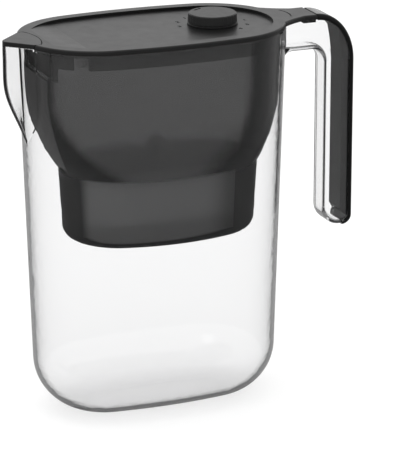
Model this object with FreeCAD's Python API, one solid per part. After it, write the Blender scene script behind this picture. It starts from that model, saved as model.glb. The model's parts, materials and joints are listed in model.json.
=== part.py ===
import FreeCAD, Part
import math
import os

# Water filter pitcher in millimetres: spout towards -X, handle towards +X, +Z up.
# The origin is the middle of the flat base that the jug stands on.

# Gaps between pieces
overrun = 6.0                  # how far a cutting tool runs past the face that it cuts
lift_gap = 0.6                 # tank wall to jug wall, so that the tank lifts out
seat_gap = 0.3                 # side gap of parts that drop into a seat
skirt_gap = 0.4                # lid skirt to tank wall
flap_gap = 0.5                 # slit round the spout flap
turn_gap = 0.05                # radial running clearance of shafts and pins
trim_gap = 0.15                # side gap of parts pushed into one another
pick_tolerance = 0.05          # how near an edge lies to the height or side that it is picked by

# Jug body: a drafted oval with a big bottom radius
rim_height = 259.4
rim_half_length = 92.3
rim_half_width = 54.9
end_round_share = 0.953        # radius of the round ends, as a part of the half width
end_draft = 7.9
side_draft = 4.0
bottom_radius = 36.7
jug_wall = 2.7
rebate_depth = 2.0
rebate_width = 1.3

# Beak spout of the jug, measured from the rim's end
beak_run = 12.5
beak_tip_radius = 5.0
beak_join_half_width = 20.0
beak_root_inset = 32.3
keel_straight = 23.0
keel_curve_height = 54.0
keel_sink = 1.0
keel_steps = 6

# Handle channel of the jug: a bridge, a bend and a free hanging grip
handle_half_width = 12.0
handle_edge_radius = 6.0
finger_room = 30.4             # rim's end to the inner side of the grip
grip_depth = 17.0
grip_hang = 148.9              # rim to the foot of the grip
grip_corner_radius = 10.0
foot_round_share = 0.9
bridge_drop = 21.9             # rim to the underside of the bridge
bridge_root_inset = 12.3
bridge_root_radius = 7.0
channel_start_gap = 0.7
bend_run = 24.0
bend_rise_share = 1.25

# Handle cover
cover_lip = 3.9
cover_edge_radius = 2.6
cover_foot_radius = 7.0
cover_foot_rise = 7.0
plug_depth_share = 0.265
plug_foot_rise = 11.5
plug_tip_rise = 6.0
plug_bend_rise = 13.0
plug_lean = 1.6
plug_top_lean = 5.0

# Tank: funnel above, filter cup below
tank_wall = 2.2
tank_spout_inset = 10.2         # rim's end to the flat spout end of the tank
tank_spout_bend_drop = 27.4
tank_bend_drop = 39.4
tank_depth = 89.4              # rim to the shoulder above the cup
tank_steps = 5
tank_flange_inset = 16.3
weir_depth = 21.0
weir_half_width = 26.0
weir_corner_radius = 6.0
cup_centre = 3.6
cup_end_inset = 23.1
cup_side_inset = 9.9
cup_round_share = 0.911
cup_draft = 2.6
cup_depth = 49.0
cup_ledge = 0.8                # how far the funnel's foot stands out over the cup
spout_ledge = 1.0              # the same at the flat spout end, inwards
cup_bottom_radius = 8.0
cup_floor = 2.5
collar_height = 12.0
collar_wall = 1.8
rest_rib_height = 2.5
rest_rib_width = 3.0
rest_rib_offset_share = 0.69
rest_rib_length_share = 0.66
outlet_radius = 3.5
outlet_offset_share = 0.475
lug_inset = 28.3
lug_length = 5.0
lug_depth = 2.2
lug_height = 4.0
lug_drop = 4.4

# Lid
lid_edge = 3.2
lid_edge_radius = 1.2
panel_depth_share = 0.62
panel_inset = 8.5
panel_ramp_inset = 14.3
panel_ramp_length = 20.0
skirt_depth = 11.1
skirt_wall = 1.8
baffle_gap = 2.7
baffle_depth = 20.4
notch_length = 8.4
notch_height = 8.0
tab_end_gap = 0.6
tab_overhang = 0.6
tab_neck_length = 9.4
tab_flare_spread = 14.4
tab_flare_depth_share = 0.62
tab_root_sink = 1.8
tab_rest_gap = 0.2
tab_foot_length = 9.0
tab_foot_depth = 2.6
grip_groove_run = 6.3
grip_groove_radius = 24.0
grip_groove_width = 0.9
grip_groove_depth = 0.6
grip_groove_half_width = 10.0

# Spout flap and its pin
hinge_inset = 6.8
flap_half_width = 18.0
flap_lift = 0.2
flap_edge_radius = 0.5
tongue_reach = 5.0
knuckle_radius = 1.4
pin_radius = 0.6
pin_hold = 3.0

# Timer dial
dial_inset = 49.1
dial_base_radius = 17.1
dial_top_inset = 0.9
dial_height = 7.5
dial_lift = 0.25
dial_edge_radius = 0.6
dial_groove_height = 1.2
dial_groove_depth = 0.7
dial_flute_count = 30
dial_flute_radius = 0.9
dial_flute_depth = 0.45
dial_roof = 2.2
dial_wall = 2.6
dial_shaft_radius = 4.0
dial_shaft_wall = 1.8
pointer_angle = 120.0
pointer_inset = 3.3
pointer_length = 7.0
pointer_width = 1.6
pointer_depth = 0.5
boss_wall = 4.0
boss_depth = 5.4
seal_boss_gap = 0.5
seal_width = 2.5
washer_width = 3.2
washer_thickness = 0.8
clip_width = 2.4
clip_thickness = 1.0
clip_notch_count = 3
clip_notch_width = 1.6
shaft_end_length = 1.4

# Filter cartridge
cart_end_gap = 8.2             # half length of the cup less that of the cartridge
cart_side_gap = 15.0
cart_height = 45.0
cart_draft = 2.0
cart_wall = 1.6
cart_flange_width = 2.6
cart_flange_thickness = 3.0
cart_floor = 1.8
cart_slot_count = 9
cart_slot_span_share = 0.72
cart_slot_width = 3.0
cart_slot_length_share = 0.467
seal_ring_height = 5.0
seal_ring_thickness = 3.0
seal_ring_bite = 0.9
cap_thickness = 1.8
cap_edge_inset = 0.5
cap_crown_inset = 6.0
cap_crown_rise = 2.4
fin_inset = 7.0
fin_height = 14.0
fin_thickness = 3.4
fin_foot_thickness = 9.0
perforation_radius = 1.1
perforation_pitch = 6.5
perforation_columns = 6
perforation_rows = 5
perforation_start = 12.0
inlet_felt_thickness = 3.0
carbon_share = 0.42
separator_thickness = 1.6
outlet_felt_thickness = 2.6

# Heights that follow from the rim
lid_height = rim_height + lid_edge
panel_height = lid_height - lid_edge * panel_depth_share
hinge_height = (rim_height + flap_lift + lid_height) / 2
skirt_bottom = rim_height - skirt_depth
baffle_bottom = rim_height - baffle_depth
boss_bottom = rim_height - boss_depth
lug_top = rim_height - lug_drop
bridge_underside = rim_height - bridge_drop
bridge_top = rim_height - tab_rest_gap
grip_top = lid_height - cover_lip
grip_foot_height = rim_height - grip_hang
bend_centre_height = grip_top - bend_run * bend_rise_share
plug_foot_height = grip_foot_height + plug_foot_rise
plug_tip_height = grip_foot_height + plug_tip_rise
plug_lean_height = bend_centre_height + plug_bend_rise
tank_spout_bend_height = rim_height - tank_spout_bend_drop
tank_bend_height = rim_height - tank_bend_drop
tank_shoulder_height = rim_height - tank_depth
weir_height = rim_height - weir_depth
cup_bottom_height = tank_shoulder_height - cup_depth
cart_bottom = cup_bottom_height + cup_floor + rest_rib_height
cart_top = cart_bottom + cart_height

# Lengths that follow from the rim's oval
rim_end_radius = rim_half_width * end_round_share
beak_reach = rim_half_length + beak_run
beak_root_reach = rim_half_length - beak_root_inset
bridge_root_reach = rim_half_length - bridge_root_inset
channel_start = rim_half_length + channel_start_gap
grip_inner_reach = rim_half_length + finger_room
grip_outer_reach = grip_inner_reach + grip_depth
bend_centre_reach = grip_outer_reach - bend_run
cover_foot_reach = grip_outer_reach + cover_lip - cover_foot_radius
grip_foot_radius = (cover_foot_reach - grip_inner_reach) * foot_round_share
plug_inner_reach = grip_outer_reach - grip_depth * plug_depth_share
tank_spout_reach = rim_half_length - tank_spout_inset
tank_flange_reach = rim_half_length - tank_flange_inset
tank_inset = jug_wall + lift_gap
tank_inner_inset = tank_inset + tank_wall
lug_reach = rim_half_length - lug_inset
cup_half_length = rim_half_length - cup_end_inset
cup_half_width = rim_half_width - cup_side_inset
cup_end_radius = cup_half_width * cup_round_share
skirt_inset = tank_inner_inset + skirt_gap
panel_ramp_start = rim_half_length - panel_ramp_inset
panel_ramp_end = panel_ramp_start - panel_ramp_length
hinge_reach = rim_half_length - hinge_inset
baffle_reach = hinge_reach - tongue_reach - baffle_gap
pin_half_length = flap_half_width + pin_hold
tab_reach = bend_centre_reach - tab_end_gap
tab_half_width = handle_half_width + tab_overhang
channel_half_width = handle_half_width - jug_wall
tab_flare_reach = tab_reach - tab_neck_length
tab_flare_half_width = tab_half_width + tab_flare_spread
grip_groove_reach = rim_half_length + grip_groove_run

# Sizes of the dial and the cartridge that follow from their own
dial_reach = rim_half_length - dial_inset
dial_top_radius = dial_base_radius - dial_top_inset
dial_shaft_bore = dial_shaft_radius - dial_shaft_wall
pointer_radius = dial_top_radius - pointer_inset
boss_radius = dial_shaft_radius + boss_wall
seal_inner_radius = boss_radius + seal_boss_gap
washer_radius = dial_shaft_radius + washer_width
clip_radius = dial_shaft_radius + clip_width
cart_half_length = cup_half_length - cart_end_gap
cart_half_width = cup_half_width - cart_side_gap
rest_rib_offset = cart_half_length * rest_rib_offset_share
rest_rib_half_length = cart_half_width * rest_rib_length_share
outlet_offset = cart_half_length * outlet_offset_share
cart_slot_pitch = 2 * cart_half_length * cart_slot_span_share / (cart_slot_count - 1)
cart_slot_half_length = cart_half_width * cart_slot_length_share
fin_half_width = cart_half_width - fin_inset
carbon_thickness = cart_height * carbon_share
outward_y = FreeCAD.Vector(0, 1, 0)
upward = FreeCAD.Vector(0, 0, 1)


def point(x, y, z):
    return FreeCAD.Vector(x, y, z)


def mirrored(p):
    return point(p.x, -p.y, p.z)


def line(start, end):
    return Part.LineSegment(start, end).toShape()


def arc(start, middle, end):
    return Part.Arc(start, middle, end).toShape()


def outline(points):
    return Part.makePolygon(points + points[:1])


def face_of(edges):
    return Part.Face(Part.Wire(edges))


def upright_prism(edges, low, high):
    face = face_of(edges)
    face.translate(point(0, 0, low))
    return face.extrude(upward * (high - low))


def cross_prism(edges, half_width):
    """Extrude a side view, drawn in the XZ plane, to both sides of the middle."""
    face = face_of(edges)
    face.translate(point(0, -half_width, 0))
    return face.extrude(outward_y * (half_width + half_width))


def box_between(low, high):
    size = high - low
    return Part.makeBox(size.x, size.y, size.z, low)


def oval_wire(half_length, half_width, end_radius, z, centre=0):
    """Four tangent arcs: two round ends and two gently bowed sides."""
    reach = half_length - end_radius
    side_radius = (reach ** 2 + half_width ** 2 - end_radius ** 2) / (2 * (half_width - end_radius))
    drop = side_radius - half_width
    stretch = side_radius / (side_radius - end_radius)
    x = reach * stretch
    y = drop * stretch - drop
    corner = [point(centre + sx * x, sy * y, z) for sx, sy in ((1, -1), (1, 1), (-1, 1), (-1, -1))]
    crown = [point(centre + half_length, 0, z), point(centre, half_width, z),
             point(centre - half_length, 0, z), point(centre, -half_width, z)]
    edges = [arc(corner[i], crown[i], corner[(i + 1) % len(corner)]) for i in range(len(corner))]
    return Part.Wire(edges)


def stadium_wire(half_length, half_width, z, centre=0):
    reach = half_length - half_width
    corner = [point(centre + sx * reach, sy * half_width, z)
              for sx, sy in ((1, -1), (1, 1), (-1, 1), (-1, -1))]
    right = arc(corner[0], point(centre + half_length, 0, z), corner[1])
    left = arc(corner[2], point(centre - half_length, 0, z), corner[3])
    return Part.Wire([right, line(corner[1], corner[2]), left, line(corner[3], corner[0])])


def jug_oval(z, inset):
    """The jug's outline at a height, drawn in by an inset."""
    drop = (rim_height - z) / rim_height
    return (rim_half_length - end_draft * drop - inset,
            rim_half_width - side_draft * drop - inset,
            rim_end_radius - side_draft * drop - inset)


def jug_block(low, high, inset):
    wires = [oval_wire(*jug_oval(z, inset), z) for z in (low, high)]
    return Part.makeLoft(wires, True, True)


def edges_at(shape, z):
    return [e for e in shape.Edges
            if abs(e.BoundBox.ZMin - z) < pick_tolerance and abs(e.BoundBox.ZMax - z) < pick_tolerance]


def jug_body(floor, top, inset, radius):
    body = jug_block(floor, top, inset)
    return body.makeFillet(radius, edges_at(body, floor))


def beak_wire(z, inset, reach):
    """Plan of the spout at a height: two straight cheeks that run tangent into a round tip."""
    half_length, _, end_radius = jug_oval(z, keel_sink)
    join_x = end_radius - half_length - math.sqrt(end_radius ** 2 - beak_join_half_width ** 2)
    tip_x = beak_tip_radius - reach
    away = math.atan2(beak_join_half_width, join_x - tip_x)
    swing = math.acos(beak_tip_radius / math.hypot(join_x - tip_x, beak_join_half_width))
    normal = point(math.cos(away + swing), math.sin(away + swing), 0)
    tangent = point(tip_x, 0, z) + normal * (beak_tip_radius - inset)
    root = point(join_x, beak_join_half_width, z) - normal * inset
    back = point(-beak_root_reach, root.y, z)
    tip = point(inset - reach, 0, z)
    return Part.Wire([line(back, root), line(root, tangent), arc(tangent, tip, mirrored(tangent)),
                      line(mirrored(tangent), mirrored(root)), line(mirrored(root), mirrored(back)),
                      line(mirrored(back), back)])


def beak(inset, top):
    """Spout that is upright at the lip and fades in a soft S into the jug's end below."""
    curve_top = rim_height - keel_straight
    wires = [beak_wire(top, inset, beak_reach), beak_wire(curve_top + keel_straight / 2, inset, beak_reach)]
    for i in range(keel_steps + 1):
        z = curve_top - keel_curve_height * i / keel_steps
        flush = jug_oval(z, 0)[0] - keel_sink
        fade = (1 + math.cos(math.pi * i / keel_steps)) / 2
        wires.append(beak_wire(z, inset, flush + (beak_reach - flush) * fade))
    return Part.makeLoft(wires, True)


def bend_arc(grow):
    """Quarter ellipse of the handle's bend, from its top to its outer side."""
    centre = point(bend_centre_reach, 0, bend_centre_height)
    top = centre + upward * (grip_top - bend_centre_height + grow)
    side = centre + point(grip_outer_reach - bend_centre_reach + grow, 0, 0)
    ellipse = Part.Ellipse(top, side, centre)
    return Part.ArcOfEllipse(ellipse, 0, math.pi / 2).toShape()


def corner_arc(centre, radius, start_angle, end_angle):
    """Arc in the side view, with angles in degrees from +X towards +Z."""
    turns = [math.radians(a) for a in (start_angle, (start_angle + end_angle) / 2, end_angle)]
    return arc(*[centre + point(radius * math.cos(t), 0, radius * math.sin(t)) for t in turns])


def handle_edges():
    """Side view of the clear handle: bridge, bend and hanging grip."""
    bend = bend_arc(0)
    bend_start, bend_end = bend.Vertexes[0].Point, bend.Vertexes[-1].Point
    foot_right = point(grip_outer_reach, 0, grip_foot_height + cover_foot_rise)
    foot_left = point(cover_foot_reach, 0, grip_foot_height)
    foot_centre = point(grip_inner_reach + grip_foot_radius, 0, grip_foot_height + grip_foot_radius)
    inner_centre = point(grip_inner_reach - grip_corner_radius, 0, bridge_underside - grip_corner_radius)
    wall = jug_oval(bridge_underside, 0)[0]
    root_centre = point(wall + bridge_root_radius, 0, bridge_underside - bridge_root_radius)
    foot = corner_arc(foot_centre, grip_foot_radius, 270, 180)
    inner = corner_arc(inner_centre, grip_corner_radius, 0, 90)
    root = corner_arc(root_centre, bridge_root_radius, 90, 180)
    deep_low = point(bridge_root_reach, 0, root.Vertexes[-1].Point.z)
    deep_high = point(bridge_root_reach, 0, bridge_top)
    step = point(bend_start.x, 0, bridge_top)
    return [line(deep_high, step), line(step, bend_start), bend, line(bend_end, foot_right),
            line(foot_right, foot_left), line(foot_left, foot.Vertexes[0].Point), foot,
            line(foot.Vertexes[-1].Point, inner.Vertexes[0].Point), inner,
            line(inner.Vertexes[-1].Point, root.Vertexes[0].Point), root,
            line(root.Vertexes[-1].Point, deep_low), line(deep_low, deep_high)]


def channel_edges():
    """Hollow of the handle, open along its top and its outer side."""
    start = channel_start
    far = grip_outer_reach + cover_lip + overrun
    roof = lid_height + overrun
    floor = bridge_underside + jug_wall
    foot_floor = grip_foot_height + jug_wall
    foot_centre = point(grip_inner_reach + grip_foot_radius, 0, grip_foot_height + grip_foot_radius)
    inner_centre = point(grip_inner_reach - grip_corner_radius, 0, bridge_underside - grip_corner_radius)
    foot = corner_arc(foot_centre, grip_foot_radius - jug_wall, 180, 270)
    inner = corner_arc(inner_centre, grip_corner_radius + jug_wall, 90, 0)
    return [line(point(start, 0, roof), point(start, 0, floor)),
            line(point(start, 0, floor), inner.Vertexes[0].Point), inner,
            line(inner.Vertexes[-1].Point, foot.Vertexes[0].Point), foot,
            line(foot.Vertexes[-1].Point, point(far, 0, foot_floor)),
            line(point(far, 0, foot_floor), point(far, 0, roof)),
            line(point(far, 0, roof), point(start, 0, roof))]


def rounded_inner_edges(shape, half_width, first, last, radius):
    """Round the long edges of a handle prism that lie under the hand."""
    picked = []
    for edge in shape.Edges:
        middle = edge.CenterOfMass
        on_side = abs(abs(middle.y) - half_width) < pick_tolerance and edge.BoundBox.YLength < pick_tolerance
        if on_side and first.x < middle.x < last.x and first.z < middle.z < last.z:
            picked.append(edge)
    return shape.makeFillet(radius, picked)


def jug_shell():
    under_hand_low = point(bridge_root_reach + bridge_root_radius * 2, 0, grip_foot_height + seat_gap)
    under_hand_high = point(grip_inner_reach + grip_foot_radius, 0, bridge_underside + jug_wall + seat_gap)
    handle = cross_prism(handle_edges(), handle_half_width)
    handle = rounded_inner_edges(handle, handle_half_width, under_hand_low, under_hand_high,
                                 handle_edge_radius)
    channel = cross_prism(channel_edges(), channel_half_width)
    channel = rounded_inner_edges(channel, channel_half_width, under_hand_low, under_hand_high,
                                  handle_edge_radius - jug_wall)
    outer = jug_body(0, rim_height, 0, bottom_radius)
    outer = outer.fuse([beak(0, rim_height), handle])
    mouth = rim_height + overrun
    cavity = jug_body(jug_wall, mouth, jug_wall, bottom_radius - jug_wall)
    cavity = cavity.fuse(beak(jug_wall, mouth))
    rebate = jug_block(rim_height - rebate_depth, mouth, jug_wall - rebate_width)
    return outer.cut([cavity, rebate, channel]).removeSplitter()


def cover_edges():
    """Side view of the cover's lip, which wraps the top and back of the handle."""
    outside, inside = bend_arc(cover_lip), bend_arc(0)
    top, bottom = outside.Vertexes[0].Point, outside.Vertexes[-1].Point
    inner_top, inner_bottom = inside.Vertexes[0].Point, inside.Vertexes[-1].Point
    foot_centre = point(bottom.x - cover_foot_radius, 0, grip_foot_height + cover_foot_radius)
    foot = corner_arc(foot_centre, cover_foot_radius, 0, -90)
    foot_right = point(grip_outer_reach, 0, grip_foot_height + cover_foot_rise)
    return [line(inner_top, top), outside, line(bottom, foot.Vertexes[0].Point), foot,
            line(foot.Vertexes[-1].Point, foot_right), line(foot_right, inner_bottom), inside]


def handle_cover():
    lip = cross_prism(cover_edges(), handle_half_width)
    outer_x = grip_outer_reach + cover_lip
    long_edges = [e for e in lip.Edges
                  if e.BoundBox.YLength < pick_tolerance and abs(e.BoundBox.XMax - outer_x) < pick_tolerance]
    lip = lip.makeFillet(cover_edge_radius, long_edges)
    inner = plug_inner_reach
    side = [point(inner, 0, plug_foot_height), point(inner, 0, bend_centre_height),
            point(inner - plug_lean, 0, plug_lean_height), point(inner - plug_top_lean, 0, grip_top),
            point(grip_outer_reach, 0, grip_top), point(grip_outer_reach, 0, plug_tip_height)]
    plug = cross_prism(outline(side).Edges, channel_half_width - trim_gap)
    plug = plug.common(cross_prism(handle_edges(), handle_half_width))
    return lip.fuse(plug).removeSplitter()


def funnel_share(z):
    """How far the funnel has drawn in towards the cup at a height, along an arc that starts upright."""
    fall = tank_bend_height - tank_shoulder_height
    run = jug_oval(tank_bend_height, tank_inset)[0] - cup_half_length - cup_ledge
    radius = (run ** 2 + fall ** 2) / (2 * run)
    return (radius - math.sqrt(radius ** 2 - (tank_bend_height - z) ** 2)) / run


def funnel_wire(z, inset):
    share = funnel_share(z)
    wide = jug_oval(z, tank_inset)
    narrow = (cup_half_length + cup_ledge, cup_half_width + cup_ledge, cup_end_radius + cup_ledge)
    sizes = [w + (n - w) * share - inset for w, n in zip(wide, narrow)]
    return oval_wire(*sizes, z, cup_centre * share)


def spout_end_edges(inset):
    """Side view of what the flat spout end leaves of the funnel: upright, then drawn in to the cup."""
    start = point(inset - tank_spout_reach, 0, tank_spout_bend_height)
    end = point(cup_centre - cup_half_length + spout_ledge + inset, 0, tank_shoulder_height)
    run = end.x - start.x
    fall = start.z - end.z
    radius = (run ** 2 + fall ** 2) / (2 * run)
    half_angle = math.asin(fall / radius) / 2
    middle = start + point(radius * (1 - math.cos(half_angle)), 0, -radius * math.sin(half_angle))
    top = rim_height + overrun
    return [line(point(start.x, 0, top), start), arc(start, middle, end),
            line(end, point(rim_half_length, 0, end.z)),
            line(point(rim_half_length, 0, end.z), point(rim_half_length, 0, top)),
            line(point(rim_half_length, 0, top), point(start.x, 0, top))]


def tank_funnel(inset, top):
    fall = tank_bend_height - tank_shoulder_height
    wires = [funnel_wire(tank_bend_height - fall * i / tank_steps, inset) for i in range(tank_steps + 1)]
    block = jug_block(tank_bend_height, top, tank_inset + inset).fuse(Part.makeLoft(wires, True))
    return block.common(cross_prism(spout_end_edges(inset), rim_half_width))


def cup_block(inset, low, high, radius):
    wires = []
    for z in (low, high):
        lean = cup_draft * (tank_shoulder_height - z) / (tank_shoulder_height - cup_bottom_height)
        shrink = lean + inset
        wires.append(oval_wire(cup_half_length - shrink, cup_half_width - shrink,
                               cup_end_radius - shrink, z, cup_centre))
    block = Part.makeLoft(wires, True, True)
    return block.makeFillet(radius, edges_at(block, low))


def cart_outline(z, grow):
    lean = cart_draft * (cart_top - z) / cart_height
    return stadium_wire(cart_half_length - lean + grow, cart_half_width - lean + grow, z, cup_centre)


def cart_block(low, high, grow):
    return Part.makeLoft([cart_outline(low, grow), cart_outline(high, grow)], True, True)


def reservoir():
    shoulder = tank_shoulder_height
    funnel = tank_funnel(0, rim_height)
    outer = funnel.fuse(cup_block(0, cup_bottom_height, shoulder, cup_bottom_radius))
    flange = jug_block(rim_height - rebate_depth, rim_height, jug_wall - rebate_width + seat_gap)
    keep = box_between(point(-tank_flange_reach, -rim_half_width, 0),
                       point(rim_half_length, rim_half_width, lid_height))
    outer = outer.fuse(flange.common(keep))
    floor = cup_bottom_height + cup_floor
    hollow = tank_funnel(tank_wall, rim_height + overrun)
    cup_hollow = cup_block(tank_wall, floor, shoulder, cup_bottom_radius - tank_wall)
    weir = box_between(point(-rim_half_length, -weir_half_width, weir_height),
                       point(overrun - tank_spout_reach, weir_half_width, lid_height))
    corners = [e for e in edges_at(weir, weir_height) if e.BoundBox.XLength > overrun]
    weir = weir.makeFillet(weir_corner_radius, corners)
    shell = outer.cut([hollow, cup_hollow, weir])
    collar = cart_block(floor - seat_gap, floor + collar_height, lift_gap + collar_wall)
    collar = collar.cut(cart_block(floor - overrun, floor + collar_height + overrun, lift_gap))
    extras = [collar]
    for side in (-1, 1):
        x = cup_centre + side * rest_rib_offset - rest_rib_width / 2
        extras.append(box_between(point(x, -rest_rib_half_length, floor - seat_gap),
                                  point(x + rest_rib_width, rest_rib_half_length, floor + rest_rib_height)))
        inner_y = tank_side_y(lug_reach, lug_top - lug_height)
        lug = Part.makeBox(lug_length, lug_depth + tank_wall, lug_height)
        lug.translate(point(-lug_reach - lug_length / 2, inner_y - lug_depth, lug_top - lug_height))
        lug = lug.common(funnel)
        extras.append(lug if side > 0 else lug.mirror(point(0, 0, 0), outward_y))
    shell = shell.fuse(extras)
    outlets = [Part.makeCylinder(outlet_radius, overrun * 2,
                                 point(cup_centre + s * outlet_offset, 0, cup_bottom_height - overrun))
               for s in (-1, 1)]
    return shell.cut(outlets).removeSplitter()


def tank_side_y(reach, z):
    """Half-width of the tank's hollow at a distance from the middle, inside its round end."""
    half_length, _, end_radius = jug_oval(z, tank_inner_inset)
    return math.sqrt(end_radius ** 2 - (reach - half_length + end_radius) ** 2)


def flap_envelope(grow):
    """Barrel about the hinge axis that the flap's tongue turns in."""
    crown = math.hypot(tongue_reach, lid_height - hinge_height) + grow
    edge = knuckle_radius + grow
    half = flap_half_width + grow
    axis = point(-hinge_reach, 0, hinge_height)
    left, right = axis - outward_y * half, axis + outward_y * half
    bulge = arc(left + point(edge, 0, 0), axis + point(crown, 0, 0), right + point(edge, 0, 0))
    face = face_of([line(left, left + point(edge, 0, 0)), bulge, line(right + point(edge, 0, 0), right),
                    line(right, left)])
    return face.revolve(axis, outward_y, 360)


def hinge_rod(radius):
    return Part.makeCylinder(radius, pin_half_length * 2,
                             point(-hinge_reach, -pin_half_length, hinge_height), outward_y)


def tab_plan():
    """Plan of the rear tab, with hollow cheeks that flow out of the lid's end."""
    half_length, _, end_radius = jug_oval(rim_height, tab_root_sink)
    root_x = half_length - end_radius + math.sqrt(end_radius ** 2 - tab_flare_half_width ** 2)
    middle = point((root_x + tab_flare_reach) / 2,
                   tab_half_width + (tab_flare_half_width - tab_half_width) * (1 - tab_flare_depth_share), 0)
    root = point(root_x, tab_flare_half_width, 0)
    neck = point(tab_flare_reach, tab_half_width, 0)
    end = point(tab_reach, tab_half_width, 0)
    return [arc(root, middle, neck), line(neck, end), line(end, mirrored(end)),
            line(mirrored(end), mirrored(neck)), arc(mirrored(neck), mirrored(middle), mirrored(root)),
            line(mirrored(root), root)]


def lid_panel():
    """Shallow recess in the lid's top that runs out towards the spout."""
    low = panel_height
    side = [point(-panel_ramp_start, 0, lid_height), point(-panel_ramp_end, 0, low),
            point(rim_half_length, 0, low), point(rim_half_length, 0, lid_height + overrun),
            point(-panel_ramp_start, 0, lid_height + overrun)]
    plan = Part.Face(oval_wire(*jug_oval(rim_height, panel_inset), low - overrun))
    return plan.extrude(upward * overrun * 3).common(cross_prism(outline(side).Edges, rim_half_width))


def lid_shell():
    plate = Part.Face(oval_wire(*jug_oval(rim_height, 0), rim_height)).extrude(upward * lid_edge)
    tab = upright_prism(tab_plan(), rim_height, lid_height)
    plate = plate.fuse(tab).removeSplitter()
    plate = plate.makeFillet(lid_edge_radius, edges_at(plate, lid_height))
    skirt = jug_block(skirt_bottom, rim_height, skirt_inset)
    skirt_hollow = jug_block(skirt_bottom - overrun, rim_height, skirt_inset + skirt_wall)
    behind = box_between(point(-baffle_reach, -rim_half_width, 0),
                         point(rim_half_length, rim_half_width, lid_height))
    skirt = skirt.common(behind).cut(skirt_hollow)
    baffle = jug_block(baffle_bottom, rim_height, skirt_inset)
    baffle = baffle.common(box_between(point(-baffle_reach, -rim_half_width, 0),
                                       point(skirt_wall - baffle_reach, rim_half_width, lid_height)))
    boss = Part.makeCylinder(boss_radius, rim_height - boss_bottom, point(dial_reach, 0, boss_bottom))
    foot_half_width = channel_half_width - seat_gap
    foot = box_between(point(tab_reach - tab_foot_length, -foot_half_width, rim_height - tab_foot_depth),
                       point(tab_reach, foot_half_width, rim_height))
    shell = plate.fuse([skirt, baffle, boss, foot])
    bore_foot = point(dial_reach, 0, boss_bottom - overrun)
    bore = Part.makeCylinder(dial_shaft_radius + turn_gap, lid_height, bore_foot)
    front = box_between(point(-beak_reach, -flap_half_width - flap_gap, 0),
                        point(-hinge_reach, flap_half_width + flap_gap, lid_height + overrun))
    cuts = [lid_panel(), bore, front, flap_envelope(flap_gap), hinge_rod(pin_radius)]
    for side in (-1, 1):
        y = side * tank_side_y(lug_reach, lug_top)
        low = point(-lug_reach - notch_length / 2, y - rim_end_radius / 4, skirt_bottom - overrun)
        cuts.append(box_between(low, low + point(notch_length, rim_end_radius / 2, overrun + notch_height)))
    groove_centre = point(grip_groove_reach - grip_groove_radius, 0, lid_height - grip_groove_depth)
    groove = Part.makeCylinder(grip_groove_radius + grip_groove_width / 2, overrun, groove_centre)
    groove_inner = grip_groove_radius - grip_groove_width / 2
    groove = groove.cut(Part.makeCylinder(groove_inner, overrun, groove_centre))
    window = box_between(point(grip_groove_reach - overrun, -grip_groove_half_width, 0),
                         point(tab_reach, grip_groove_half_width, lid_height + overrun))
    cuts.append(groove.common(window))
    return shell.cut(cuts).removeSplitter()


def spout_flap():
    low = rim_height + flap_lift
    cover = Part.Face(oval_wire(*jug_oval(rim_height, 0), low)).extrude(upward * (lid_height - low))
    cheeks = Part.Face(beak_wire(low, 0, beak_reach)).extrude(upward * (lid_height - low))
    cover = cover.fuse(cheeks).removeSplitter()
    cover = cover.makeFillet(flap_edge_radius, edges_at(cover, lid_height))
    front = box_between(point(-beak_reach - overrun, -flap_half_width, 0),
                        point(-hinge_reach, flap_half_width, lid_height + overrun))
    flap = cover.common(front.fuse(flap_envelope(0)))
    return flap.cut(hinge_rod(pin_radius + turn_gap)).removeSplitter()


def ring(outer, inner, low, high, centre_x):
    solid = Part.makeCylinder(outer, high - low, point(centre_x, 0, low))
    return solid.cut(Part.makeCylinder(inner, high - low, point(centre_x, 0, low)))


def timer_knob():
    low = panel_height + dial_lift
    top = low + dial_height
    groove = low + dial_groove_height
    roof = top - dial_roof
    shaft_end = boss_bottom - washer_thickness - clip_thickness - shaft_end_length
    hub_inner = seal_inner_radius - dial_wall / 2
    hub_outer = seal_inner_radius + seal_width + dial_wall / 2
    hub_low = panel_height + seal_width
    half = [(dial_shaft_bore, shaft_end), (dial_shaft_radius, shaft_end), (dial_shaft_radius, roof),
            (hub_inner, roof), (hub_inner, hub_low), (hub_outer, hub_low), (hub_outer, roof),
            (dial_base_radius - dial_wall, roof), (dial_base_radius - dial_wall, low),
            (dial_base_radius, low), (dial_base_radius, groove - dial_groove_depth / 2),
            (dial_base_radius - dial_groove_depth, groove),
            (dial_base_radius - dial_groove_depth / 2, groove + dial_groove_depth / 2),
            (dial_top_radius, top - dial_edge_radius), (dial_top_radius - dial_edge_radius, top),
            (0, top), (0, roof), (dial_shaft_bore, roof)]
    points = [point(dial_reach + r, 0, z) for r, z in half]
    knob = Part.Face(outline(points)).revolve(point(dial_reach, 0, 0), upward, 360)
    reach = dial_base_radius + dial_flute_radius - dial_flute_depth
    lean = dial_base_radius - dial_top_radius
    cuts = []
    for i in range(dial_flute_count):
        turn = math.radians(360 * i / dial_flute_count)
        foot = point(dial_reach + reach * math.cos(turn), reach * math.sin(turn), groove + dial_groove_depth)
        tilt = point(-lean * math.cos(turn), -lean * math.sin(turn), dial_height)
        cuts.append(Part.makeCylinder(dial_flute_radius, dial_height, foot, tilt))
    slot = Part.makeBox(pointer_width, pointer_length, pointer_depth * 2)
    slot.translate(point(pointer_radius - pointer_width / 2, -pointer_length / 2, top - pointer_depth))
    slot.rotate(point(0, 0, 0), upward, pointer_angle)
    slot.translate(point(dial_reach, 0, 0))
    return knob.cut(cuts + [slot])


def timer_seal():
    return ring(seal_inner_radius + seal_width, seal_inner_radius, panel_height, panel_height + seal_width,
                dial_reach)


def timer_spring_washer():
    return ring(washer_radius, dial_shaft_radius + turn_gap, boss_bottom - washer_thickness, boss_bottom,
                dial_reach)


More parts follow.
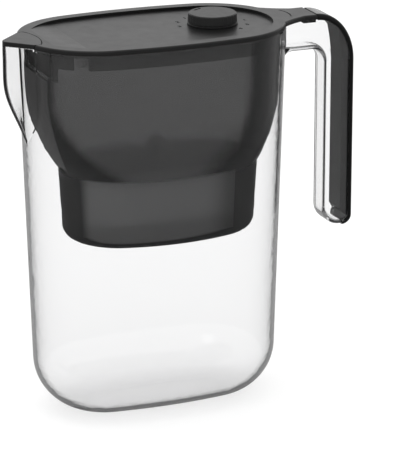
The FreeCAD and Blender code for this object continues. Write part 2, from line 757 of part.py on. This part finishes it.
def timer_clip():
    high = boss_bottom - washer_thickness
    clip = ring(clip_radius, dial_shaft_radius, high - clip_thickness, high, dial_reach)
    cuts = []
    for i in range(clip_notch_count):
        notch = Part.makeBox(clip_radius, clip_notch_width, overrun * 2)
        notch.translate(point((dial_shaft_radius + clip_radius) / 2, -clip_notch_width / 2, -overrun))
        notch.rotate(point(0, 0, 0), upward, 360 * i / clip_notch_count)
        notch.translate(point(dial_reach, 0, high))
        cuts.append(notch)
    return clip.cut(cuts)


def cartridge_shell():
    outer = cart_block(cart_bottom, cart_top, 0)
    flange_low = cart_top - cart_flange_thickness
    flange = cart_block(flange_low, cart_top, cart_flange_width)
    hollow = cart_block(cart_bottom + cart_floor, cart_top + overrun, -cart_wall)
    shell = outer.fuse(flange).cut(hollow)
    slots = []
    for i in range(cart_slot_count):
        x = cup_centre + (i - (cart_slot_count - 1) / 2) * cart_slot_pitch
        low = point(x - cart_slot_width / 2, -cart_slot_half_length, cart_bottom - overrun)
        slots.append(box_between(low, low + point(cart_slot_width, cart_slot_half_length * 2, overrun * 2)))
    groove = seal_block(seal_ring_bite)
    return shell.cut(slots + [groove]).removeSplitter()


def seal_block(bite):
    """Ring between the cartridge's wall and the collar of the tank."""
    low = cart_bottom + seal_ring_height
    high = low + seal_ring_thickness
    body = cart_block(low, high, lift_gap - trim_gap)
    return body.cut(cart_block(low - overrun, high + overrun, -bite))


def cartridge_seal():
    return seal_block(seal_ring_bite)


def cartridge_cap():
    low = cart_top
    crown_top = low + cap_crown_rise
    rim = cart_flange_width - cap_edge_inset

    def step(grow, step_low, step_high):
        wires = [stadium_wire(cart_half_length + g, cart_half_width + g, z, cup_centre)
                 for g, z in ((grow, step_low), (grow - cap_edge_inset, step_high))]
        return Part.makeLoft(wires, True, True)
    plate = step(rim, low, low + cap_thickness)
    crown = step(-cap_crown_inset, low + cap_thickness / 2, crown_top)
    top = point(cup_centre, 0, crown_top + fin_height)
    left = point(cup_centre, -fin_half_width, low + cap_thickness / 2)
    right = point(cup_centre, fin_half_width, low + cap_thickness / 2)
    moon = face_of([arc(left, top, right), line(right, left)])
    moon.translate(point(-fin_thickness / 2, 0, 0))
    fin = moon.extrude(point(fin_thickness, 0, 0))
    flare = [point(cup_centre - fin_foot_thickness, 0, low + cap_thickness / 2),
             point(cup_centre + fin_foot_thickness, 0, low + cap_thickness / 2),
             point(cup_centre + fin_thickness / 2, 0, crown_top + fin_height),
             point(cup_centre - fin_thickness / 2, 0, crown_top + fin_height)]
    gusset = cross_prism(outline(flare).Edges, fin_thickness)
    cap = plate.fuse([crown, fin, gusset])
    holes = []
    for side in (-1, 1):
        for column in range(perforation_columns):
            x = cup_centre + side * (perforation_start + column * perforation_pitch)
            for row in range(perforation_rows):
                y = (row - (perforation_rows - 1) / 2) * perforation_pitch
                past_straight = max(abs(x - cup_centre) - cart_half_length + cart_half_width, 0)
                if math.hypot(past_straight, y) < cart_half_width - cap_crown_inset - perforation_pitch / 2:
                    foot = point(x, y, low - overrun)
                    holes.append(Part.makeCylinder(perforation_radius, overrun * 2, foot))
    return cap.cut(holes)


def media_layer(low, high):
    return cart_block(low, high, -cart_wall - trim_gap)


def media_heights():
    """Layer boundaries inside the cartridge, from the top down."""
    heights = [cart_top]
    for thickness in (inlet_felt_thickness, carbon_thickness, separator_thickness):
        heights.append(heights[-1] - thickness)
    heights.append(cart_bottom + cart_floor + outlet_felt_thickness)
    heights.append(cart_bottom + cart_floor)
    return heights


def bed_separator(low, high):
    plate = media_layer(low, high)
    holes = []
    for i in range(cart_slot_count):
        x = cup_centre + (i - (cart_slot_count - 1) / 2) * cart_slot_pitch
        for side in (-1, 1):
            holes.append(Part.makeCylinder(cart_slot_width / 2, overrun * 2,
                                           point(x, side * cart_slot_half_length / 2, low - overrun)))
    return plate.cut(holes)


heights = media_heights()
pieces = {
    "jug_shell": jug_shell(),
    "handle_cover": handle_cover(),
    "reservoir": reservoir(),
    "lid_shell": lid_shell(),
    "spout_flap": spout_flap(),
    "flap_hinge_pin": hinge_rod(pin_radius),
    "timer_knob": timer_knob(),
    "timer_seal": timer_seal(),
    "timer_spring_washer": timer_spring_washer(),
    "timer_clip": timer_clip(),
    "cartridge_shell": cartridge_shell(),
    "cartridge_cap": cartridge_cap(),
    "cartridge_seal": cartridge_seal(),
    "inlet_felt": media_layer(heights[1], heights[0]),
    "carbon_bed": media_layer(heights[2], heights[1]),
    "bed_separator": bed_separator(heights[3], heights[2]),
    "resin_bed": media_layer(heights[4], heights[3]),
    "outlet_felt": media_layer(heights[5], heights[4]),
}

os.makedirs("parts", exist_ok=True)
for name, shape in pieces.items():
    shape.exportStep("parts/" + name + ".step")
    print(name, len(shape.Solids), shape.isValid(), round(shape.Volume / 1000, 2), "cm3")
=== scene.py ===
# %% [markdown]
# # A water filter pitcher
# The pitcher is a clear jug with a smoke-grey tank hung in its mouth, a dark lid with a spout flap and a
# timer dial, and a white filter cartridge in the cup below the tank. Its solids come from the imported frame,
# already in place and in metres, so this lesson is about light and finish: how clear, smoked and matt
# plastic are told apart when all three lie on top of one another.

# %% Load the frame
import bpy
import json
import math
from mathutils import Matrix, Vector


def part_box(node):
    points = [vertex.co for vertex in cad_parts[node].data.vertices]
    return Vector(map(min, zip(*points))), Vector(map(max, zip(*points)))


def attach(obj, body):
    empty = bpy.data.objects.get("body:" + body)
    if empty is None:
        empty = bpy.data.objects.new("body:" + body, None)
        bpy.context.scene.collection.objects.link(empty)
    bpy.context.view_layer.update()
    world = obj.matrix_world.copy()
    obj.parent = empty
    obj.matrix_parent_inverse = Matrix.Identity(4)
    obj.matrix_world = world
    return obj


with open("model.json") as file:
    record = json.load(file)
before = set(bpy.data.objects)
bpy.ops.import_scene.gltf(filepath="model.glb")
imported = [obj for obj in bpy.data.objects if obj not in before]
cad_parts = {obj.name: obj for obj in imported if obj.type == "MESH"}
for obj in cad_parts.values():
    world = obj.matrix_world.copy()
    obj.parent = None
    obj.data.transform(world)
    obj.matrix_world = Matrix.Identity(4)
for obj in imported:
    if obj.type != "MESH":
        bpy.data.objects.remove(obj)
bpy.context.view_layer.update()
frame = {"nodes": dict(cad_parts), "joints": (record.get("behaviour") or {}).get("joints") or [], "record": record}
scene = bpy.context.scene
MM = 0.001

# %% [markdown]
# ## The camera
# The picture was taken with a long lens from the front, a little towards the spout and above the lid. A camera
# could be placed by eye, but an angle, a height and a distance from one target point are easier to read
# and to change. The lens follows from the focal length in pixels and the picture's longer side.

# %% Place the camera
VIEW_AZIMUTH = math.radians(-22.37)
VIEW_ELEVATION = math.radians(17.955)
VIEW_DISTANCE = 1.93888
VIEW_TARGET = Vector((0.038576, 0, 0.118935))
FOCAL_PIXELS = 2828.09
LONG_SIDE_PIXELS = 450

towards_camera = Vector((math.sin(VIEW_AZIMUTH) * math.cos(VIEW_ELEVATION),
                         -math.cos(VIEW_AZIMUTH) * math.cos(VIEW_ELEVATION), math.sin(VIEW_ELEVATION)))
camera = bpy.data.objects.new("camera", bpy.data.cameras.new("camera"))
camera.data.lens = FOCAL_PIXELS / LONG_SIDE_PIXELS * camera.data.sensor_width
camera.location = VIEW_TARGET + towards_camera * VIEW_DISTANCE
camera.rotation_euler = (-towards_camera).to_track_quat("-Z", "Y").to_euler()
scene.collection.objects.link(camera)
scene.camera = camera
print("lens", round(camera.data.lens, 2), "mm at", [round(v, 3) for v in camera.location])

# %% [markdown]
# ## Sockets with operators
# A finish is a small sum: so much noise, times a strength, added to a base roughness. Written as Math nodes,
# each sum takes a dozen lines. A class that wraps a node's socket and overloads Python's operators lets the
# sum be written as it is thought of, and one method makes every other kind of node.

# %% Wrap a socket
class Wire:
    """A socket on a board of nodes. Sums on it add Math nodes."""

    def __init__(self, board, socket):
        self.board, self.socket = board, socket

    def maths(self, operation, *values):
        return self.board.node("ShaderNodeMath", {"operation": operation}, dict(enumerate(values)))

    def __add__(self, other):
        return self.maths("ADD", self, other)

    def __mul__(self, other):
        return self.maths("MULTIPLY", self, other)

    def __rsub__(self, other):
        return self.maths("SUBTRACT", other, self)

    def __rpow__(self, other):
        return self.maths("POWER", other, self)

    def __abs__(self):
        return self.maths("ABSOLUTE", self)

    __radd__, __rmul__ = __add__, __mul__


def blend(amount, low, high):
    """A value that is low where amount is 0 and high where it is 1."""
    return low + (high - low) * amount


print("a wire takes a + b, a * b, 1 - a, 2 ** a and abs(a)")


# %% Hold a tree of nodes
class Board:
    """A tree of nodes, with one method that makes any of them."""

    # A Mix node has its sockets once per kind of data. These are the ones for colours.
    MIX_FACTOR, MIX_LOW, MIX_HIGH, MIX_RESULT = 0, 6, 7, 2

    def __init__(self, owner):
        owner.use_nodes = True
        self.tree = owner.node_tree

    def join(self, socket, value):
        if isinstance(value, Wire):
            self.tree.links.new(value.socket, socket)
        else:
            socket.default_value = value

    def node(self, kind, settings=None, sockets=None, output=0):
        made = self.tree.nodes.new(kind)
        for key, value in (settings or {}).items():
            setattr(made, key, value)
        for key, value in (sockets or {}).items():
            self.join(made.inputs[key], value)
        return Wire(self, made.outputs[output])

    def along(self, vector, axis):
        """One coordinate of a vector."""
        return self.node("ShaderNodeSeparateXYZ", sockets={0: vector}, output=axis)

    def ramp(self, value, start, end, low=0.0, high=1.0):
        """A soft step from low to high while value goes from start to end."""
        return self.node("ShaderNodeMapRange", {"interpolation_type": "SMOOTHSTEP"},
                         {"Value": value, "From Min": start, "From Max": end, "To Min": low, "To Max": high})

    def mix(self, factor, low, high):
        """A colour that is low where factor is 0 and high where it is 1."""
        return self.node("ShaderNodeMix", {"data_type": "RGBA"},
                         {self.MIX_FACTOR: factor, self.MIX_LOW: low, self.MIX_HIGH: high}, self.MIX_RESULT)


print("a board makes a node from its type, settings and sockets")


# %% Hold a material
class Finish(Board):
    """A material with one Principled shader. plain gives the sockets that are the same all over."""

    def __init__(self, name, plain):
        self.material = bpy.data.materials.new(name)
        super().__init__(self.material)
        self.shader = self.tree.nodes["Principled BSDF"]
        for socket, value in plain.items():
            self.shader.inputs[socket].default_value = value

    def feed(self, **links):
        for name, wire in links.items():
            self.join(self.shader.inputs[name.replace("_", " ")], wire)

    def soak(self, tone, density):
        """Let the plastic itself take some light on its way, as grey glass does."""
        volume = self.node("ShaderNodeVolumeAbsorption", sockets={"Color": tone, "Density": density})
        self.join(self.tree.nodes["Material Output"].inputs["Volume"], volume)

    def place(self):
        """Where a point lies on the object, in metres, at rest."""
        return self.node("ShaderNodeTexCoord", output="Object")

    def noise(self, size, detail=2, stretch=(1, 1, 1)):
        """Soft blotches of a size in metres, from 0 to 1."""
        spread = self.node("ShaderNodeVectorMath", {"operation": "MULTIPLY"}, {0: self.place(), 1: stretch})
        return self.node("ShaderNodeTexNoise", sockets={"Vector": spread, "Scale": 1 / size, "Detail": detail})

    def cells(self, size):
        """Distance to the nearest of a crowd of seeds that lie about a size apart."""
        return self.node("ShaderNodeTexVoronoi", sockets={"Vector": self.place(), "Scale": 1 / size})

    def relief(self, height, depth, strength=1):
        return self.node("ShaderNodeBump", sockets={"Height": height, "Distance": depth, "Strength": strength})

    def mottle(self, dark, light, size):
        """A colour that drifts from dark to light in blotches of a size."""
        return self.mix(self.noise(size), dark, light)

    def wander(self, low, high, size):
        """A value that drifts from low to high in blotches of a size."""
        return blend(self.noise(size), low, high)

    def grain(self, size, depth, strength):
        """A fine relief, as a spark-eroded mould leaves it."""
        return self.relief(self.noise(size), depth, strength)

    def wave(self, size, depth):
        """A wide, shallow wave, as moulded walls have."""
        return self.relief(self.noise(size, detail=1), depth, strength=0.3)


def grey(value, tint=0):
    """A grey with a little blue in it, as an RGBA colour."""
    return (value, value, value * (1 + tint), 1)


print("a finish feeds one Principled shader")

# %% [markdown]
# ## The studio
# Clear and black plastic show the room more than themselves, so the studio is half of their finish. The floor
# is a pale table that is lit from below, so shadows stay faint, and the sky an even white that grows brighter
# overhead. A mirror in the jug would show that pale table in every black part and wash it out. Photographers
# lay dark cloth outside the picture for that. Here a Light Path node does the same: the table turns grey for
# light that has come off a glossy face, and darker with each clear face that the light passed as well. So
# upright black faces stay black, also behind the jug's wall, the jug keeps light edges, and the lid mirrors
# the pale sky.

# %% Floor
FLOOR_HALF = 7.0
FLOOR_DROP = 0.2 * MM
FLOOR_CORNERS = ((-1, -1), (1, -1), (1, 1), (-1, 1))
TABLE_GLOW = 0.7
TABLE_WHITE = grey(1.0)
CLOTH_TONE = 0.24
LEFT_BY_A_FACE = 0.76

floor_mesh = bpy.data.meshes.new("floor")
floor_mesh.from_pydata([(x * FLOOR_HALF, y * FLOOR_HALF, -FLOOR_DROP) for x, y in FLOOR_CORNERS],
                       [], [range(len(FLOOR_CORNERS))])
floor = bpy.data.objects.new("floor", floor_mesh)
scene.collection.objects.link(floor)
paper = Finish("floor_paper", {"Roughness": 0.9, "Specular IOR Level": 0.1, "Emission Strength": TABLE_GLOW})
mirrored = paper.node("ShaderNodeLightPath", output="Glossy Depth")
table_tone = paper.mottle(dark=grey(0.29), light=grey(0.31), size=400 * MM)
faces_passed = paper.node("ShaderNodeLightPath", output="Transmission Depth")
cloth = CLOTH_TONE * LEFT_BY_A_FACE ** faces_passed
paper.feed(Base_Color=paper.mix(mirrored, table_tone, cloth),
           Emission_Color=paper.mix(mirrored, TABLE_WHITE, cloth))
floor_mesh.materials.append(paper.material)
print("floor reaches", FLOOR_HALF, "m")

# %% Sky and lamps
SKY_COLOUR = grey(1.0)
SKY_SIDE, SKY_TOP = 1.0, 1.35
ZENITH = (0.35, 0.8)

scene.world = bpy.data.worlds.new("sky")
sky = Board(scene.world)
rise = sky.along(sky.node("ShaderNodeTexCoord", output="Generated"), "Z")
glow = sky.ramp(rise, *ZENITH, SKY_SIDE, SKY_TOP)
sky.join(sky.tree.nodes["Background"].inputs["Color"], SKY_COLOUR)
sky.join(sky.tree.nodes["Background"].inputs["Strength"], glow)
scene.view_settings.view_transform = "Standard"


def lamp(name, place, aim, size, power):
    made = bpy.data.objects.new(name, bpy.data.lights.new(name, "AREA"))
    made.data.size, made.data.energy = size, power
    made.location = place
    made.rotation_euler = (Vector(aim) - Vector(place)).to_track_quat("-Z", "Y").to_euler()
    scene.collection.objects.link(made)


lamp("lamp_above", place=(-0.3, 0.1, 1.6), aim=(0, 0, 0.1), size=1.2, power=4)
lamp("lamp_front", place=(-0.9, -1.6, 1.3), aim=(0, 0, 0.15), size=0.8, power=3)
print("sky", SKY_SIDE, "to", SKY_TOP, "and 2 lamps")

# %% [markdown]
# ## Clear plastic
# The jug is clear moulded plastic. A low alpha would make it look like film, with no thickness. Real
# transmission lets the two faces of its wall bend and mirror the light, so its rim, its base and its handle
# draw their own lines. The plastic takes a little light on the way, and where a wall is seen edge-on the way
# is long: that greys the jug's outline. Moulded walls are never quite flat, so a shallow, wide wave goes in
# the normal.

# %% Clear jug
CLEAR_TONE = grey(0.6, tint=0.03)
CLEAR_DENSITY = 36

clear = Finish("clear_plastic", {"Transmission Weight": 1.0, "IOR": 1.3, "Base Color": grey(0.985)})
clear.soak(CLEAR_TONE, CLEAR_DENSITY)
clear.feed(Roughness=clear.wander(low=0.01, high=0.03, size=30 * MM),
           Normal=clear.wave(size=35 * MM, depth=0.08 * MM))
print("clear plastic", len(clear.tree.nodes), "nodes")

# %% [markdown]
# ## Smoked plastic
# The tank is the same kind of plastic with soot in it. Its colour is mostly in its depth, so it gets the same
# glass with far more absorption, and a little of it scatters light as grey. Its faces are slightly frosted:
# the lid's skirt, which lies close behind the wall, still makes a clear dark band. The cup is frosted more, so
# that the edges of the cartridge in it blur. Seen through two walls the tank looks dark grey. At its round
# ends a Layer Weight node deepens the tint where the wall turns away from the viewer, as for a thick pane seen
# from the side; a little of that is light that runs along the wall and is lost, and most of it is painted
# shade. Light that the white cartridge scatters has come in from all round, so it keeps the plain tint. The
# cup is tinted less than the tank, as painted light that offsets the shade the cartridge stands in: with the
# cartridge close behind its wall, it then looks as dark.

# %% Smoked tank
SMOKE_TONE = grey(0.6)
SMOKE_DENSITY = 250
# The end tint is painted shade for the tank's round ends.
SMOKE_FACE, SMOKE_CUP_PAINTED_LIGHT, SMOKE_END_PAINTED_SHADE = grey(0.33), grey(0.50), grey(0.02)
CUP_BLEND = 8 * MM
CUP_FROST = 0.3
TURNED_AWAY = (0.17, 0.30)

smoke = Finish("smoked_plastic", {"Transmission Weight": 0.90, "IOR": 1.45})
smoke.soak(SMOKE_TONE, SMOKE_DENSITY)
# Where the wall turns away from the viewer the tint darkens: painted shade at the tank's round ends.
turned = smoke.ramp(smoke.node("ShaderNodeLayerWeight", output="Facing"), *TURNED_AWAY)
cup_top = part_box("cartridge_shell")[1].z
in_cup = smoke.ramp(smoke.along(smoke.place(), "Z"), cup_top - CUP_BLEND, cup_top, low=1.0, high=0.0)
# The cup's lighter tint is painted light that offsets the shade the cartridge stands in.
face_and_cup_light_tint = smoke.mix(in_cup, SMOKE_FACE, SMOKE_CUP_PAINTED_LIGHT)
end_painted_shade_tint = smoke.mix(turned, face_and_cup_light_tint, SMOKE_END_PAINTED_SHADE)
scattered = smoke.node("ShaderNodeLightPath", output="Diffuse Depth")
smoke.feed(Base_Color=smoke.mix(scattered, end_painted_shade_tint, face_and_cup_light_tint),
           Roughness=smoke.wander(low=0.18, high=0.23, size=20 * MM) + in_cup * CUP_FROST,
           Normal=smoke.wave(size=40 * MM, depth=0.08 * MM))
print("smoked plastic", len(smoke.tree.nodes), "nodes")

# %% [markdown]
# ## Dark mouldings
# The lid, the flap and the dial are nearly black, yet the lid's top looks grey, because seen at a low angle a
# satin surface mirrors the pale room behind it. A grey paint would look flat from above, so the colour stays
# dark, and the grey comes from roughness. A fine spark-erosion grain breaks the mirror up.

# %% Lid and dial plastic
lid_plastic = Finish("lid_plastic", {"IOR": 1.5, "Specular IOR Level": 0.22})
lid_plastic.feed(Base_Color=lid_plastic.mottle(dark=grey(0.004), light=grey(0.006), size=12 * MM),
                 Roughness=lid_plastic.wander(low=0.27, high=0.37, size=8 * MM),
                 Normal=lid_plastic.grain(size=0.6 * MM, depth=0.02 * MM, strength=0.5))

dial_plastic = Finish("dial_plastic", {"IOR": 1.5, "Specular IOR Level": 0.18})
dial_plastic.feed(Base_Color=dial_plastic.mottle(dark=grey(0.010), light=grey(0.013), size=6 * MM),
                  Roughness=dial_plastic.wander(low=0.30, high=0.40, size=4 * MM),
                  Normal=dial_plastic.grain(size=0.5 * MM, depth=0.02 * MM, strength=0.4))
print("dark finishes", [f.material.name for f in (lid_plastic, dial_plastic)])

# %% [markdown]
# ## Handle trim
# The strip that closes the handle is glossy black outside. Its inner wall is seen through the clear channel,
# where it looks greyer, so there it is painted a lighter grey: painted light on what is one black moulding.
# One finish tells the two apart by place: whatever lies between the channel's walls and short of the grip's
# outer side is the inner wall.

# %% Handle cover
LIP_TONE, INNER_WALL_PAINTED_LIGHT = grey(0.003), grey(0.10)
LIP_THICKNESS = 3.9 * MM
CHANNEL_HALF_WIDTH = 9.2 * MM
EDGE_SOFTNESS = 0.3 * MM

trim = Finish("trim_plastic", {"IOR": 1.5, "Specular IOR Level": 0.1})
inside_walls = trim.ramp(abs(trim.along(trim.place(), "Y")), CHANNEL_HALF_WIDTH - EDGE_SOFTNESS,
                         CHANNEL_HALF_WIDTH + EDGE_SOFTNESS, low=1.0, high=0.0)
outer_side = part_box("handle_cover")[1].x - LIP_THICKNESS
short_of_lip = trim.ramp(trim.along(trim.place(), "X"), outer_side - EDGE_SOFTNESS, outer_side,
                         low=1.0, high=0.0)
# The inner wall's lighter grey is painted light; the lip keeps the moulding's black.
trim.feed(Base_Color=trim.mix(inside_walls * short_of_lip, LIP_TONE, INNER_WALL_PAINTED_LIGHT),
          Roughness=trim.wander(low=0.10, high=0.18, size=20 * MM),
          Normal=trim.wave(size=30 * MM, depth=0.06 * MM))
print("trim lip starts at", round(outer_side, 4))

# %% [markdown]
# ## Filter parts
# The cartridge is white satin plastic. Inside it lie felt, carbon granules and resin beads. Modelling each
# grain would take a million faces, and all are a crowd of small things, so cell noise at the size of a granule
# or a bead, and stretched noise at the size of a fibre, gives both colour and relief. The granules and beads
# are painted darker towards their edges: painted shade in the hollows between them.

# %% White plastic and felt
white = Finish("filter_plastic", {"IOR": 1.5})
white.feed(Base_Color=white.mottle(dark=grey(0.80, tint=0.01), light=grey(0.86, tint=0.01), size=20 * MM),
           Roughness=white.wander(low=0.34, high=0.46, size=6 * MM),
           Normal=white.grain(size=1.2 * MM, depth=0.02 * MM, strength=0.4))

felt = Finish("pressed_felt", {"Sheen Weight": 0.3})
fibres = felt.noise(size=1.2 * MM, detail=4, stretch=(1, 5, 1))
felt.feed(Base_Color=felt.mix(fibres, low=grey(0.62), high=grey(0.86)),
          Roughness=blend(fibres, low=0.85, high=0.95), Normal=felt.relief(fibres, depth=0.3 * MM))
print("cartridge finishes", [f.material.name for f in (white, felt)])

# %% Carbon and resin
# The bead's edge colour is painted shade between the beads.
BEAD_MIDDLE, BEAD_EDGE_PAINTED_SHADE = (0.72, 0.46, 0.16, 1), (0.30, 0.16, 0.05, 1)

carbon = Finish("carbon_granules", {"IOR": 1.6})
granules = carbon.cells(size=1.2 * MM)
# Darker towards each granule's edge: painted shade between the granules.
carbon.feed(Base_Color=carbon.mix(granules, low=grey(0.03), high=grey(0.008)),
            Roughness=blend(granules, low=0.45, high=0.85), Normal=carbon.relief(1 - granules, depth=0.5 * MM))

resin = Finish("resin_beads", {"IOR": 1.5})
beads = resin.cells(size=0.9 * MM)
# Darker towards each bead's edge: painted shade between the beads.
resin.feed(Base_Color=resin.mix(beads, BEAD_MIDDLE, BEAD_EDGE_PAINTED_SHADE),
           Roughness=blend(beads, low=0.2, high=0.5), Normal=resin.relief(1 - beads, depth=0.4 * MM))
print("bed finishes", [f.material.name for f in (carbon, resin)])

# %% [markdown]
# ## Small parts
# The hinge pin, the spring washer and the clip are drawn or stamped steel, and the two seals are soft
# silicone. Drawn steel has fine streaks along the draw, so its noise is squeezed across it.

# %% Steel and silicone
steel = Finish("drawn_steel", {"Metallic": 1.0})
streaks = steel.noise(size=4 * MM, detail=3, stretch=(14, 1, 14))
steel.feed(Base_Color=steel.mix(streaks, low=grey(0.50), high=grey(0.64)),
           Roughness=blend(streaks, low=0.22, high=0.40))

silicone = Finish("seal_silicone", {"IOR": 1.43})
bloom = silicone.noise(size=3 * MM, detail=3)
silicone.feed(Base_Color=silicone.mix(bloom, low=grey(0.62), high=grey(0.72)),
              Roughness=blend(bloom, low=0.5, high=0.7),
              Normal=silicone.relief(bloom, depth=0.03 * MM, strength=0.5))
print("small parts' finishes", [f.material.name for f in (steel, silicone)])

# %% [markdown]
# ## Dressing
# Each solid of the frame names the slot of its finish. Going by slot, and not by piece, keeps pieces that are
# moulded from the same plastic alike.

# %% Dress the nodes
FINISHES = {
    "clear_jug": clear, "black_trim": trim, "smoke_tank": smoke, "lid_grey": lid_plastic,
    "dial_black": dial_plastic, "pin_steel": steel, "seal_rubber": silicone, "filter_white": white,
    "felt": felt, "carbon": carbon, "resin": resin,
}
for part in frame["record"]["subparts"]:
    mesh = frame["nodes"][part["node"]].data
    mesh.materials.clear()
    mesh.materials.append(FINISHES[part["material_slot"]].material)

# %% [markdown]
# ## Figures round the dial
# Six small figures are printed on the lid round the dial, three to each side. A picture of them would need an
# image file. A text object is a curve, so a hair of extrusion is enough to lay it on the panel as a film of
# ink, upright for someone who stands in front.

# %% Print the figures
FIGURE_RADIUS = 23.6 * MM
FIGURE_SIZE = 5.2 * MM
INK_THICKNESS = 0.03 * MM
STROKE_SPREAD = 0.18 * MM
FIGURE_ANGLES = (120, 150, 180, 300, 330, 0)

ink = Finish("dial_ink", {"Specular IOR Level": 0.1})
ink.feed(Base_Color=ink.mottle(dark=grey(0.003), light=grey(0.006), size=0.4 * MM),
         Roughness=ink.wander(low=0.7, high=0.9, size=0.6 * MM))
dial_centre = next(Vector(j["pos_m"]) for j in frame["joints"] if j["name"] == "dial_turn")
panel_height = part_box("timer_seal")[0].z
for number, angle in enumerate(FIGURE_ANGLES, start=1):
    text = bpy.data.curves.new(f"dial_figure_{number}", "FONT")
    text.body = str(number)
    text.size = FIGURE_SIZE
    text.align_x, text.align_y = "CENTER", "CENTER"
    text.extrude = INK_THICKNESS
    text.offset = STROKE_SPREAD
    text.materials.append(ink.material)
    figure = bpy.data.objects.new(f"dial_figure_{number}", text)
    swing = math.radians(angle)
    figure.location = (dial_centre.x + FIGURE_RADIUS * math.cos(swing), FIGURE_RADIUS * math.sin(swing),
                       panel_height)
    scene.collection.objects.link(figure)
    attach(figure, "lid")
print("figures", len(FIGURE_ANGLES))

# %% [markdown]
# ## The end
# A finish must not make the pitcher larger.

# %% Finish
print("done")
